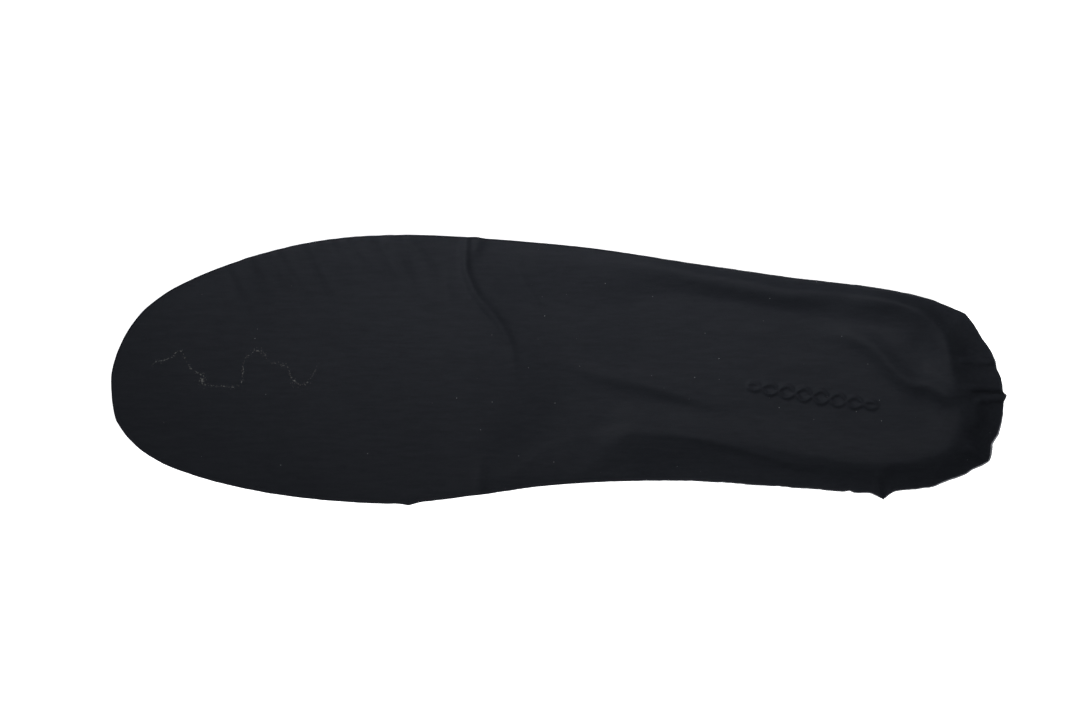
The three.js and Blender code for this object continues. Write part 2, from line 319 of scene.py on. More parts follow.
def low_level(x):
    """Height of the cover where no pad lifts it, with the frame's corners smoothed along x."""
    table_x = np.linspace(-160, 160, 641)
    lifted = PAD_LIFT * smoothstep(-16.5, -9.5, SPINE[:, 0])  # x between which its pad rises
    table = np.interp(table_x, SPINE[:, 0], SPINE_Z - lifted)
    reach_steps, sigma_steps = 40, 12.0
    offsets = np.arange(-reach_steps, reach_steps + 1)
    kernel = np.exp(-0.5 * (offsets / sigma_steps) ** 2)
    table = np.pad(table, reach_steps, mode="edge")
    table = np.convolve(table, kernel / kernel.sum(), mode="valid")
    return np.interp(x, table_x, table)


# ---- the leather's relief ----
def from_line(points, x, y):
    """How far each place is from a line of points, and the share of the line passed there."""
    points = np.array(points, float)
    legs = np.diff(points, axis=0)
    lengths = np.linalg.norm(legs, axis=1)
    before = np.concatenate([[0], lengths.cumsum()])
    best = np.full(x.shape, np.inf)
    passed = np.zeros(x.shape)
    for start, leg, length, so_far in zip(points, legs, lengths, before):
        t = np.clip(((x - start[0]) * leg[0] + (y - start[1]) * leg[1]) / length**2, 0, 1)
        away = np.hypot(x - start[0] - t * leg[0], y - start[1] - t * leg[1])
        nearer = away < best
        best = np.where(nearer, away, best)
        passed = np.where(nearer, (so_far + t * length) / before[-1], passed)
    return best, passed


def rounded(points):
    """A smooth line through the points."""
    count = 24
    points = np.array(points, float)
    ends = np.vstack([2 * points[0] - points[1], points, 2 * points[-1] - points[-2]])
    t = np.linspace(0, len(points) - 1, count)
    k = np.minimum(t.astype(int), len(points) - 2)
    t = (t - k)[:, None]
    a, b, c, d = (ends[k + i] for i in range(4))
    return 0.5 * (2 * b + (c - a) * t + (2 * a - 5 * b + 4 * c - d) * t**2
                  + (3 * b - a - 3 * c + d) * t**3)


def fold(x, y, points, height, half, fades):
    """One ridge or valley along a line, fading at its ends."""
    line = rounded(points)
    skirt = 4 * half  # past this nothing of it is left
    low, high = line.min(axis=0) - skirt, line.max(axis=0) + skirt
    near = (x > low[0]) & (x < high[0]) & (y > low[1]) & (y < high[1])
    raised = np.zeros(x.shape)
    away, passed = from_line(line, x[near], y[near])
    strength = smoothstep(0, fades[0], passed) * smoothstep(0, fades[1], 1 - passed)
    raised[near] = height * strength * np.exp(-0.5 * (away / half) ** 2)
    return raised


OUTER_EDGE = EDGE_XY[: len(SPINE)].T


def toe_wrinkles(x, y):
    """Short flex wrinkles that run in from the outer edge of the forefoot."""
    first, last, spacing = -112, -48, 4.4
    chance = np.random.default_rng(12)
    raised = np.zeros(x.shape)
    for start in np.arange(first, last, spacing):
        start += chance.uniform(-0.8, 0.8)
        edge = np.interp(start, *OUTER_EDGE)
        length = chance.uniform(13, 27)
        angle = math.radians(chance.uniform(-62, -54))
        away = np.array([math.cos(angle), math.sin(angle)]) * length
        bend = chance.uniform(-1.2, 1.2)
        points = [(start, edge + 1), (start + away[0] * 0.5 + bend, edge + away[1] * 0.5),
                  (start + away[0], edge + away[1])]
        raised += fold(x, y, points, -chance.uniform(0.45, 0.65), chance.uniform(1.2, 1.6),
                       (0.1, 0.6))
    return raised


def pressed_mark(x, y):
    """A plain braid of two crossing waves, pressed into the heel."""
    along = (x - MARK["x"]) * math.cos(MARK["tilt"]) + (y - MARK["y"]) * math.sin(MARK["tilt"])
    across = (y - MARK["y"]) * math.cos(MARK["tilt"]) - (x - MARK["x"]) * math.sin(MARK["tilt"])
    half, turn = MARK["long"] / 2, 2 * math.pi / MARK["wave"]
    inside = smoothstep(0, 2, half - np.abs(along))
    least_swing = 0.35
    swing = MARK["swing"] * np.sqrt(np.clip(1 - (along / half) ** 2, 0, 1)) + least_swing
    groove = 0
    for phase in (0, math.pi):
        wave = swing * np.sin(turn * along + phase)
        stretch = np.hypot(1, swing * turn * np.cos(turn * along))
        away = (across - wave) / stretch
        groove = np.maximum(groove, np.exp(-0.5 * (away / MARK["groove"]) ** 2))
    return -MARK["depth"] * inside * groove


def wall_shape(x, y):
    """How gradually the wall starts at its gutter, and how far it flattens towards its rim."""
    back, side, turn = smoothstep(112, 132, x), smoothstep(-12, 12, y), smoothstep(-12, 0, y)
    start = mix(mix(0.14, 0.5, side), mix(0.42, 0.1, turn), back)
    flat = mix(mix(0.55, 0.2, side), mix(0.35, 0.5, turn), back)
    return start, flat


def wall_profile(share, start, flat):
    """Height share of the turned-up wall, from its gutter to its rim."""
    whole = np.hypot(1, start) - start
    even = (np.hypot(share, start) - start) / whole
    return mix(even, 1 - np.clip(1 - even, 0, 1) ** 1.8, flat)


def rim_slope(x, y):
    """The wall's slope at its rim, as a share of its mean slope."""
    start, flat = wall_shape(x, y)
    whole = np.hypot(1, start) - start
    return (1 - flat) / np.hypot(1, start) / whole


RIM_SLOPE = rim_slope(EDGE_XY[:, 0], EDGE_XY[:, 1]) * RISE / MARGIN
# the breadth that the cut face has from above, where it is cut square to the leather
CUT_WIDTH = blurred(LEATHER * RIM_SLOPE / np.hypot(1, RIM_SLOPE), 3 / ROUND_BY)
# and the part of it that shows: the outer side and the back are cut upright
CUT_SHOWN = CUT_WIDTH * smoothstep(-10, -22, EDGE_XY[:, 1])


def cover_base(x, y, depth, ray):
    """Height of the leather without its fine folds. ray picks each place's ray."""
    margin, rise = MARGIN[ray], RISE[ray]
    level = smoothstep(28, 6, x) * smoothstep(-8, -20, y)  # in front of the arch: no gutter
    foot = mix(margin, 2, level)  # the depth at which the pad's slope starts
    # and the breadth of that slope, on the outer side and on the whole
    outer = mix(mix(18, 8, smoothstep(5, 48, x)), 9.5, smoothstep(85, 100, x))
    roll = mix(mix(11, 15, level), outer, smoothstep(-5, 10, y))
    t = np.clip((depth - foot) / roll, 0, 1)
    lift = PAD_LIFT * pad_front(x, y) * t * t * (3 - 2 * t)
    share = np.clip((margin - depth) / (margin - CUT_WIDTH[ray]), 0, 1)
    wall = rise * wall_profile(share, *wall_shape(x, y))
    return low_level(x) + lift + wall


def cover_folds(x, y, depth, ray, soften=1.0):
    """The folds, wrinkles and faint unevenness of the leather, as deep or softened below it."""
    detail = toe_wrinkles(x, y) / soften
    for points, height, half, fades in FOLDS:
        detail += fold(x, y, points, height / soften, half * soften, fades)
    rear = smoothstep(-20, 10, x)
    detail += 0.10 * wobble(x, y, 22, 1.5)
    detail += 0.06 * rear * wobble(x / 3.2, y, 4.5, 4.2)  # drawn out along the insole
    flap = rear * smoothstep(1.3, 0.6, depth / MARGIN[ray])
    detail += flap * (0.25 * wobble(x, y, 11, 8.8) + 0.07 * wobble(x, y, 4, 2.8))
    return detail


def cover_top(x, y, depth, ray):
    """Height of the leather's face, with the mark pressed in and the cut edge rounded over."""
    rounding = 0.16 * smoothstep(0.4, 0, depth - CUT_SHOWN[ray])
    relief = cover_folds(x, y, depth, ray) + pressed_mark(x, y)
    return cover_base(x, y, depth, ray) + relief - rounding


def cover_core(x, y, depth, ray):
    """What the leather's underside and the layers below follow: folds are blunter there."""
    return cover_base(x, y, depth, ray) + cover_folds(x, y, depth, ray, soften=1.6)


# ---- meshes on the rays ----
RAYS = len(LENGTH)
EVERY = np.arange(RAYS)
BED_DEPTH = LENGTH - BED_LENGTH
BROAD = 24  # about the depth at which rows that follow the edge give way to ones that spread


def depth_rows(outer, steps, inner_count):
    """Depths on each ray: steps in from an outer depth, then evenly on towards the spine."""
    near = outer[None] + np.asarray(steps, float)[:, None]
    share = np.linspace(0, 1, inner_count + 1)[:-1, None]
    first = np.maximum(near[-1] + 0.5, BROAD)
    return np.vstack([near, first[None] * (1 - share) + share * LENGTH[None]])


def surface(depths, height):
    """Points for rows of depths on the rays, then for the spine, from a height function."""
    at = ORIGIN[None] + DIRECTION[None] * (LENGTH[None] - depths)[..., None]
    x, y = at[..., 0], at[..., 1]
    rows = np.stack([x, y, height(x, y, depths, np.broadcast_to(EVERY, x.shape))], axis=-1)
    x, y = SPINE[:, 0], SPINE[:, 1]
    stations = np.arange(len(SPINE))
    spine = np.column_stack([x, y, height(x, y, LENGTH[stations], stations)])
    return rows, spine


def normals(rows):
    """Unit normals of rows of points round the rays, pointing up."""
    inward = np.gradient(rows, axis=0)
    onward = np.roll(rows, -1, axis=1) - np.roll(rows, 1, axis=1)
    normal = np.cross(inward, onward)
    normal /= np.linalg.norm(normal, axis=2)[..., None]
    return normal * np.sign(normal[..., 2:3])


def square_in(made, by):
    """The surface moved in along its own normals."""
    rows, spine = made
    return rows - by * normals(rows), spine - np.array([0, 0, by])


def straight_down(made, by):
    """The surface moved down its columns by a thickness that is measured square to it."""
    steepest = 0.45  # least upward part of a normal, so that no tuck is lowered too far
    rows, spine = made
    lowered = rows.copy()
    lowered[..., 2] -= by / np.maximum(steepest, normals(rows)[..., 2])
    return lowered, spine - np.array([0, 0, by])


def no_lower(made, floor):
    """The surface kept from dipping below a height that depends on x."""
    rows, spine = made[0].copy(), made[1].copy()
    rows[..., 2] = np.maximum(rows[..., 2], floor(rows[..., 0]))
    spine[:, 2] = np.maximum(spine[:, 2], floor(spine[:, 0]))
    return rows, spine


def band(a, b):
    """Faces between two rings of points round the rays, which start at a and b."""
    onward = np.roll(EVERY, -1)
    return np.column_stack([a + EVERY, b + EVERY, b + onward, a + onward]).tolist()


def grid_faces(rows, first, spine_first, up=True):
    """Faces over rows of points round the rays, closed along the spine."""
    faces = []
    for k in range(rows - 1):
        faces += band(first + k * RAYS, first + (k + 1) * RAYS)
    last = first + (rows - 1) * RAYS
    for j, n in zip(EVERY.tolist(), np.roll(EVERY, -1).tolist()):
        a, b = spine_first + int(STATION[j]), spine_first + int(STATION[n])
        faces.append([last + j, a, last + n] if a == b else [last + j, a, b, last + n])
    return faces if up else [face[::-1] for face in faces]


def add_object(name, data):
    """A new object in the scene."""
    made = bpy.data.objects.new(name, data)
    bpy.context.scene.collection.objects.link(made)
    return made


def new_piece(name, points, faces, slots, face_slots=None, sharp=None):
    """A mesh object from points in mm. sharp is the angle in degrees past which an edge is one."""
    mesh = bpy.data.meshes.new(name)
    mesh.from_pydata((np.asarray(points) * MM).tolist(), [], faces)
    for made in slots:
        mesh.materials.append(made)
    if face_slots is not None:
        mesh.polygons.foreach_set("material_index", face_slots)
    mesh.polygons.foreach_set("use_smooth", [True] * len(faces))
    if sharp:
        mesh.set_sharp_from_angle(angle=math.radians(sharp))
    mesh.update()
    return add_object(name, mesh)


def side_rings(upper, lower, bulge):
    """Two rings of points between two edges, pushed out."""
    outward = np.column_stack([DIRECTION, np.zeros(RAYS)])
    shares = np.linspace(0, 1, 4)[1:-1]
    return [mix(upper, lower, s) + outward * bulge * math.sin(math.pi * s) for s in shares]


def closed_layer(name, top, bottom, bulge, slots, face_slots=(0, 0, 0)):
    """A closed sheet between two surfaces. face_slots are for its top, its bottom and its side."""
    rings = side_rings(top[0][0], bottom[0][0], bulge)
    blocks = [top[0].reshape(-1, 3), top[1], bottom[0].reshape(-1, 3), bottom[1], *rings]
    starts = np.concatenate([[0], np.cumsum([len(b) for b in blocks])]).tolist()
    upper = grid_faces(len(top[0]), 0, starts[1])
    lower = grid_faces(len(bottom[0]), starts[2], starts[3], up=False)
    side = []
    order = [0] + starts[4:-1] + [starts[2]]  # the top's edge, the rings, the bottom's edge
    for a, b in zip(order, order[1:]):
        side += band(b, a)
    kinds = np.repeat(face_slots, [len(upper), len(lower), len(side)])
    return new_piece(name, np.vstack(blocks), upper + lower + side, slots, kinds, SHARP)


# ---- materials ----
def material(name):
    made = bpy.data.materials.new(name)
    made.use_nodes = True
    nodes = made.node_tree.nodes
    nodes.clear()
    shader = nodes.new("ShaderNodeBsdfPrincipled")
    out = nodes.new("ShaderNodeOutputMaterial")
    made.node_tree.links.new(shader.outputs[0], out.inputs[0])
    return made, made.node_tree, shader


def feed(tree, made, inputs):
    """A node's inputs, each linked to a socket or set to a value."""
    for key, value in inputs.items():
        if isinstance(value, bpy.types.NodeSocket):
            tree.links.new(value, made.inputs[key])
        else:
            made.inputs[key].default_value = value


def node(tree, kind, inputs=None, **settings):
    """A new node with its settings and inputs."""
    made = tree.nodes.new(kind)
    for key, value in settings.items():
        setattr(made, key, value)
    feed(tree, made, inputs or {})
    return made


def ramp(tree, value, low, high, dark, bright):
    """A colour that goes from dark to bright as a value goes from low to high."""
    made = node(tree, "ShaderNodeValToRGB", {"Fac": value})
    first, last = made.color_ramp.elements
    first.position, first.color = low, (*dark, 1)
    last.position, last.color = high, (*bright, 1)
    return made.outputs[0]


def maths(tree, operation, *values):
    return node(tree, "ShaderNodeMath", dict(enumerate(values)), operation=operation).outputs[0]


def spread(tree, value, low, high, to_low=0.0, to_high=1.0):
    """A value stretched from one range to another, and clamped to it."""
    ends = {"Value": value, "From Min": low, "From Max": high, "To Min": to_low, "To Max": to_high}
    return node(tree, "ShaderNodeMapRange", ends).outputs[0]


def noise_at(tree, place, scale, detail=3.0, roughness=0.5):
    """Noise from about 0.3 to 0.7, with scale in cycles per metre."""
    inputs = {"Vector": place, "Scale": scale, "Detail": detail, "Roughness": roughness}
    return node(tree, "ShaderNodeTexNoise", inputs).outputs["Fac"]


def object_place(tree):
    return node(tree, "ShaderNodeTexCoord").outputs["Object"]


def blend_colour(tree, share, under, over):
    """A colour laid over another where share is 1."""
    under, over = (colour if isinstance(colour, bpy.types.NodeSocket) else (*colour, 1)
                   for colour in (under, over))
    # the numbers are those of the node's sockets for colours
    return node(tree, "ShaderNodeMix", {0: share, 6: under, 7: over}, data_type="RGBA").outputs[2]


def add_bump(tree, shader, height, distance, strength):
    """Relief too fine for the mesh. distance is its depth in metres."""
    inputs = {"Height": height, "Strength": strength, "Distance": distance}
    feed(tree, shader, {"Normal": node(tree, "ShaderNodeBump", inputs).outputs[0]})


def lint(tree, place):
    """1 on sparse specks of lint, 0 elsewhere. A cell's own colour decides whether it has one."""
    cells = node(tree, "ShaderNodeTexVoronoi", {"Vector": place, "Scale": 240.0})
    chosen = node(tree, "ShaderNodeSeparateColor", {"Color": cells.outputs["Color"]})
    near = spread(tree, cells.outputs["Distance"], 0.04, 0.015)
    return maths(tree, "MULTIPLY", near, spread(tree, chosen.outputs[0], 0.35, 0.9))


def chalk_wave(tree, place):
    """1 on a rubbed, dotted wave of chalk across the forefoot, 0 elsewhere. It is in metres."""
    middle_x, middle_y, half, swing, waves = -0.106, 0.001, 0.028, 0.0062, 2.1
    end_fade = 0.004
    line_half, line_core = 0.00034, 0.0001
    dust_half, dust_core = 0.0016, 0.0002
    turn = waves * math.pi / half
    shake = node(tree, "ShaderNodeTexNoise", {"Vector": place, "Scale": 75.0, "Detail": 2.0})
    shift = node(tree, "ShaderNodeVectorMath", {0: shake.outputs["Color"], 1: (0.5, 0.5, 0.5)},
                 operation="SUBTRACT")
    moved = node(tree, "ShaderNodeVectorMath", {0: shift.outputs[0], 1: (0.022, 0.016, 0.0),
                                                2: place}, operation="MULTIPLY_ADD")
    at = node(tree, "ShaderNodeSeparateXYZ", {"Vector": moved.outputs[0]})
    along = maths(tree, "SUBTRACT", at.outputs[0], middle_x)
    angle = maths(tree, "MULTIPLY", along, turn)
    wave = maths(tree, "MULTIPLY_ADD", maths(tree, "SINE", angle), swing, middle_y)
    steep = maths(tree, "MULTIPLY", maths(tree, "COSINE", angle), swing * turn)
    stretch = maths(tree, "SQRT", maths(tree, "MULTIPLY_ADD", steep, steep, 1.0))
    away = maths(tree, "ABSOLUTE", maths(tree, "SUBTRACT", at.outputs[1], wave))
    across = maths(tree, "DIVIDE", away, stretch)
    inside = spread(tree, maths(tree, "ABSOLUTE", along), half, half - end_fade)
    rubbed = spread(tree, noise_at(tree, place, 85.0, 1.0), 0.38, 0.55)
    dots = spread(tree, noise_at(tree, place, 1500.0, 2.0), 0.5, 0.6)
    line = maths(tree, "MULTIPLY", spread(tree, across, line_half, line_core), dots)
    specks = spread(tree, noise_at(tree, place, 2100.0, 1.0), 0.66, 0.72)
    dust = maths(tree, "MULTIPLY", spread(tree, across, dust_half, dust_core), specks)
    marks = maths(tree, "MULTIPLY", maths(tree, "MAXIMUM", line, dust), rubbed)
    return maths(tree, "MULTIPLY", marks, inside)


def leather_face():
    """Brushed near-black leather with a fine grain, the chalk wave and specks of lint."""
    made, tree, shader = material("black_leather")
    place = object_place(tree)
    stretched = node(tree, "ShaderNodeMapping", {"Vector": place, "Scale": (0.16, 1.0, 1.0)})
    broad = noise_at(tree, place, 30.0)
    brushed = noise_at(tree, stretched.outputs[0], 900.0, 3.0, 0.6)
    fine = noise_at(tree, place, 1100.0, 4.0, 0.6)
    cloudy = maths(tree, "MULTIPLY_ADD", fine, 0.35, maths(tree, "MULTIPLY", broad, 0.2))
    mottle = maths(tree, "MULTIPLY_ADD", brushed, 0.45, cloudy)
    tone = ramp(tree, mottle, 0.36, 0.64, (0.0105, 0.0117, 0.0150), (0.0146, 0.0161, 0.0200))
    chalked = blend_colour(tree, maths(tree, "MULTIPLY", chalk_wave(tree, place), 0.8), tone,
                           (0.11, 0.11, 0.105))
    colour = blend_colour(tree, lint(tree, place), chalked, (0.20, 0.21, 0.22))
    feed(tree, shader, {"Base Color": colour, "Roughness": spread(tree, fine, 0.3, 0.7, 0.58, 0.74),
                        "Specular IOR Level": 0.07})
    pebble = node(tree, "ShaderNodeTexVoronoi", {"Vector": place, "Scale": 1500.0},
                  feature="DISTANCE_TO_EDGE")
    grain = spread(tree, pebble.outputs["Distance"], 0.0, 0.3, 0.0, 0.6)
    brushing = maths(tree, "MULTIPLY", brushed, 0.8)
    relief = maths(tree, "ADD", maths(tree, "ADD", grain, fine), brushing)
    add_bump(tree, shader, relief, 0.00003, 0.8)
    return made


def fibrous(name, dark, bright):
    """Matted fibres: the cut edge and the flesh side of leather."""
    made, tree, shader = material(name)
    place = object_place(tree)
    fibre = noise_at(tree, place, 2600.0, 5.0, 0.6)
    patch = noise_at(tree, place, 160.0, 2.0)
    mottle = maths(tree, "MULTIPLY_ADD", fibre, 0.6, maths(tree, "MULTIPLY", patch, 0.4))
    feed(tree, shader, {"Base Color": ramp(tree, mottle, 0.38, 0.64, dark, bright),
                        "Roughness": 0.95, "Specular IOR Level": 0.15})
    add_bump(tree, shader, fibre, 0.00022, 0.7)
    return made


def foam(name, dark, bright, cell_mm):
    """Closed-cell foam with small open pores on its surface, which are painted darker as shade
    inside them.
    """
    depth_mm = 0.12
    made, tree, shader = material(name)
    place = object_place(tree)
    cells = node(tree, "ShaderNodeTexVoronoi", {"Vector": place, "Scale": 1000 / cell_mm})
    pore = spread(tree, cells.outputs["Distance"], 0.15, 0.6)
    cloud = noise_at(tree, place, 45.0)
    # pores are dented and also painted darker: painted shade in them; the cloud is tone that varies
    # at random
    mottle = maths(tree, "MULTIPLY_ADD", pore, 0.35, cloud)
    feed(tree, shader, {"Base Color": ramp(tree, mottle, 0.35, 0.95, dark, bright),
                        "Roughness": spread(tree, cloud, 0.3, 0.7, 0.82, 0.95),
                        "Specular IOR Level": 0.25})
    grit = noise_at(tree, place, 3200.0, 2.0)
    add_bump(tree, shader, maths(tree, "MULTIPLY_ADD", grit, 0.4, pore), depth_mm * MM, 0.8)
    return made


def gel():
    """Soft translucent gel with a slightly uneven skin."""
    made, tree, shader = material("blue_gel")
    place = object_place(tree)
    cloud = noise_at(tree, place, 60.0, 2.0)
    film = noise_at(tree, place, 500.0, 3.0)
    colour = ramp(tree, cloud, 0.3, 0.7, (0.055, 0.095, 0.135), (0.085, 0.135, 0.18))
    feed(tree, shader, {"Base Color": colour, "Roughness": spread(tree, film, 0.3, 0.7, 0.2, 0.36),
                        "Specular IOR Level": 0.5, "Subsurface Weight": 0.35,
                        "Subsurface Radius": (0.0015, 0.002, 0.0025)})
    add_bump(tree, shader, film, 0.00005, 0.5)
    return made


def lining_cloth():
    """A plain weave in near-black thread, painted darker in the hollows between its threads as
    shade.
    """
    made, tree, shader = material("woven_lining")
    place = object_place(tree)
    pitch = 0.85 * MM
    at = node(tree, "ShaderNodeSeparateXYZ", {"Vector": place})
    wavy = spread(tree, noise_at(tree, place, 120.0, 2.0), 0.0, 1.0, -0.4, 0.4)
    warp = maths(tree, "MULTIPLY_ADD", at.outputs[0], math.pi / pitch, wavy)
    weft = maths(tree, "MULTIPLY_ADD", at.outputs[1], math.pi / pitch, wavy)
    over = maths(tree, "MULTIPLY", maths(tree, "SINE", warp), maths(tree, "SINE", weft))
    fibre = noise_at(tree, place, 4200.0, 3.0)
    height = maths(tree, "MULTIPLY_ADD", fibre, 0.5, maths(tree, "ABSOLUTE", over))
    # colour from the weave's height: darker between threads is painted shade; the broad noise adds
    # tone that varies at random
    wear_and_weave_shade = maths(tree, "MULTIPLY_ADD", noise_at(tree, place, 24.0), 0.8, height)
    colour = ramp(tree, wear_and_weave_shade, 0.4, 1.6, (0.010, 0.0105, 0.012), (0.034, 0.035, 0.039))
    feed(tree, shader, {"Base Color": colour, "Roughness": 0.92, "Specular IOR Level": 0.2,
                        "Sheen Weight": 0.12})
    add_bump(tree, shader, height, 0.00016, 0.9)
    return made


# ---- the leather ----
def leather_cover():
    """The cover: finely meshed on its face, more coarsely on its flesh side."""
    fine = np.concatenate([[0, 0.12, 0.35], np.arange(0.8, BROAD - 1, STEP)])
    top = surface(depth_rows(CUT_SHOWN, fine, 34), cover_top)
    core = surface(depth_rows(CUT_WIDTH, np.arange(0, BROAD - 1), 8), cover_core)
    slots = [leather_face(),
             fibrous("leather_flesh", (0.014, 0.0145, 0.016), (0.032, 0.033, 0.035)),
             fibrous("leather_cut", (0.09, 0.093, 0.10), (0.19, 0.195, 0.21))]
    return closed_layer("leather_cover", top, square_in(core, LEATHER), 0.12, slots, (0, 1, 2))


# ---- the layers under it ----
footbed_corners, _ = cad_mesh("footbed")
footbed_top = footbed_corners[footbed_corners[:, 2] > 1.5]  # its underside is lower than that
footbed_top = footbed_top[np.argsort(footbed_top[:, 0])]


def bed_top(x):
    """Height of the footbed's flat top."""
    return np.interp(x, footbed_top[:, 0], footbed_top[:, 2])


CLOTH_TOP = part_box("bottom_cloth")[1][2] / MM
COOKIE_ENDS = [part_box("arch_cookie")[k][0] / MM for k in (0, 1)]
COOKIE_TAPER = 9  # mm over which the cookie thins out at each end
LAYER_STEPS = np.concatenate([[0, 0.15, 0.5], np.arange(1, BROAD - 1, 1)])


def cut_line(seed):
    """Depth at which a foam layer is cut on each ray: the footbed's edge, with a slight waver."""
    x, y = EDGE_XY.T
    return BED_DEPTH + 0.10 * wobble(x, y, 14, seed) + 0.04 * wobble(x, y, 2.5, seed + 5)


def core_from(outer):
    """The core surface, meshed for a layer that starts at an outer depth on each ray."""
    return surface(depth_rows(outer, LAYER_STEPS, 8), cover_core)


def backing_layer():
    """The thin foam behind the leather, which never dips into the footbed."""
    core = core_from(cut_line(21.5))
    thinnest = 0.3
    top = no_lower(straight_down(core, LEATHER + GLUE), lambda x: bed_top(x) + GLUE + thinnest)
    bottom = no_lower(straight_down(core, LEATHER + GLUE + BACKING), lambda x: bed_top(x) + GLUE)
    slots = [foam("backing_foam", (0.060, 0.061, 0.066), (0.105, 0.106, 0.112), 0.5)]
    return closed_layer("backing_layer", top, bottom, 0.1, slots)


def cookie_share(x, y):
    """1 where the arch cookie fills the space under the wall, tapering to 0 at its ends."""
    low, high = COOKIE_ENDS
    return np.where(y < 0, smoothstep(low, low + COOKIE_TAPER, x)
                    * smoothstep(high, high - COOKIE_TAPER, x), 0)


def wedge(name, core, share, slots):
    """What fills a share of the space between the footbed and the backing, from the top down."""
    rows, spine = straight_down(core, LEATHER + GLUE + BACKING + GLUE)
    points = np.vstack([rows.reshape(-1, 3), spine])
    shares = np.concatenate([share.ravel(), np.ones(len(spine))])
    thick = (points[:, 2] - bed_top(points[:, 0]) - GLUE) * shares
    kept = thick > SKIVE
    grid = grid_faces(len(rows), 0, rows[..., 0].size)
    # a triangle repeats its last corner, so that one array holds all the faces
    faces = np.array([face if len(face) == 4 else [*face, face[2]] for face in grid])
    faces = faces[kept[faces].all(axis=1)]
    used = np.unique(faces)
    place = np.full(len(points), -1)
    place[used] = np.arange(len(used))
    upper = [list(dict.fromkeys(face)) for face in place[faces].tolist()]
    edges = {(a, b) for face in upper for a, b in zip(face, face[1:] + face[:1])}
    rim = [(a, b) for a, b in edges if (b, a) not in edges]
    count = len(used)
    lower = [[v + count for v in face[::-1]] for face in upper]
    side = [[b, a, a + count, b + count] for a, b in sorted(rim)]
    high = points[used]
    low = high - np.column_stack([np.zeros((count, 2)), thick[used]])
    return new_piece(name, np.vstack([high, low]), upper + lower + side, slots, sharp=SHARP)


def comfort_pad():
    """The three-quarter pad: all that the leather's lift leaves room for, inside the gutter."""
    depths = depth_rows(MARGIN, np.arange(0, BROAD - 1, 0.7), 24)
    core = surface(depths, cover_core)
    slots = [foam("pad_foam", (0.24, 0.23, 0.20), (0.38, 0.37, 0.33), 0.7)]
    return wedge("comfort_pad_foam", core, np.ones(depths.shape), slots)


def arch_cookie():
    """The crescent of foam under the arch wall, between the footbed's edge and the gutter."""
    outer = cut_line(33.5)
    rows, _ = core_from(outer)
    depths = depth_rows(outer, LAYER_STEPS, 8)
    share = cookie_share(rows[..., 0], rows[..., 1]) * (depths < MARGIN)
    slots = [foam("cookie_foam", (0.040, 0.039, 0.037), (0.078, 0.076, 0.071), 0.9)]
    below = np.full(len(SPINE), -9.0)  # a spine so low that no thickness is left there
    return wedge("arch_cookie_foam", (rows, np.column_stack([SPINE, below])), share, slots)


# ---- flat layers, which have windows ----
def window_for(node_name):
    """A ring of places round an insert, wider than it by its clearance."""
    count = 120
    low, high = (np.array(corner[:2]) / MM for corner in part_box(node_name))
    turn = np.linspace(0, 2 * math.pi, count, endpoint=False)[:, None]
    half = (high - low) / 2 + INSERT_FIT
    return (low + high) / 2 + half * np.hstack([np.cos(turn), np.sin(turn)])


def within(places, loop):
    """Whether each place is inside a closed loop."""
    x, y = places[:, :1], places[:, 1:]
    ax, ay = loop.T
    bx, by = np.roll(loop, -1, axis=0).T
    spans = (ay > y) != (by > y)
    rise = np.where(by == ay, 1, by - ay)
    return ((spans & (x < ax + (bx - ax) * (y - ay) / rise)).sum(axis=1) % 2).astype(bool)


def beside(places, window, clear_by):
    """Whether each place is outside a window that is enlarged by a factor."""
    centre = window.mean(axis=0)
    return ~within(places, centre + (window - centre) * clear_by)


def triangles(loops, inner):
    """Triangles facing up, inside the first loop and outside the others."""
    points = np.vstack([*loops, inner])
    edges, first = [], 0
    for loop in loops:
        edges += [(first + i, first + (i + 1) % len(loop)) for i in range(len(loop))]
        first += len(loop)
    corners, tolerance = [Vector(p) for p in points], 1e-7
    _, _, faces, origins, _, _ = delaunay_2d_cdt(corners, edges, [], 0, tolerance)
    faces = np.array([[origins[v][0] for v in face] for face in faces])
    middles = points[faces].mean(axis=1)
    kept = within(middles, loops[0])
    for hole in loops[1:]:
        kept &= ~within(middles, hole)
    faces = faces[kept]
    a, b, c = (points[faces[:, k]] for k in range(3))
    turned = (b[:, 0] - a[:, 0]) * (c[:, 1] - a[:, 1]) < (b[:, 1] - a[:, 1]) * (c[:, 0] - a[:, 0])
    faces[turned] = faces[turned][:, ::-1]
    return points, faces


def plate(name, loops, inner, top, bottom, bulge, slots):
    """A flat layer with windows. Its loops run anticlockwise; top and bottom are heights."""
    points, faces = triangles(loops, inner)
    count = len(points)
    blocks = [np.column_stack([points, top(points)]),
              np.column_stack([points, np.full(count, bottom)])]
    all_faces = faces.tolist() + (faces[:, ::-1] + count).tolist()
    first, total = 0, 2 * count
    for k, loop in enumerate(loops):
        size = len(loop)
        index = np.arange(size)
        onward = np.roll(loop, -1, axis=0) - np.roll(loop, 1, axis=0)
        outward = np.column_stack([onward[:, 1], -onward[:, 0], np.zeros(size)])
        outward /= np.linalg.norm(outward, axis=1)[:, None]
        upper, lower = blocks[0][first:first + size], blocks[1][first:first + size]
        rings = [mix(upper, lower, share) + outward * bulge * math.sin(math.pi * share)
                 for share in (0.33, 0.67)]
        blocks += rings
        starts = [first, total, total + size, first + count]
        following = np.roll(index, -1)
        for a, b in zip(starts, starts[1:]):
            quads = np.column_stack([b + index, b + following, a + following, a + index])
            all_faces += (quads if k == 0 else quads[:, ::-1]).tolist()
        first += size
        total += 2 * size
    return new_piece(name, np.vstack(blocks), all_faces, slots, sharp=SHARP)


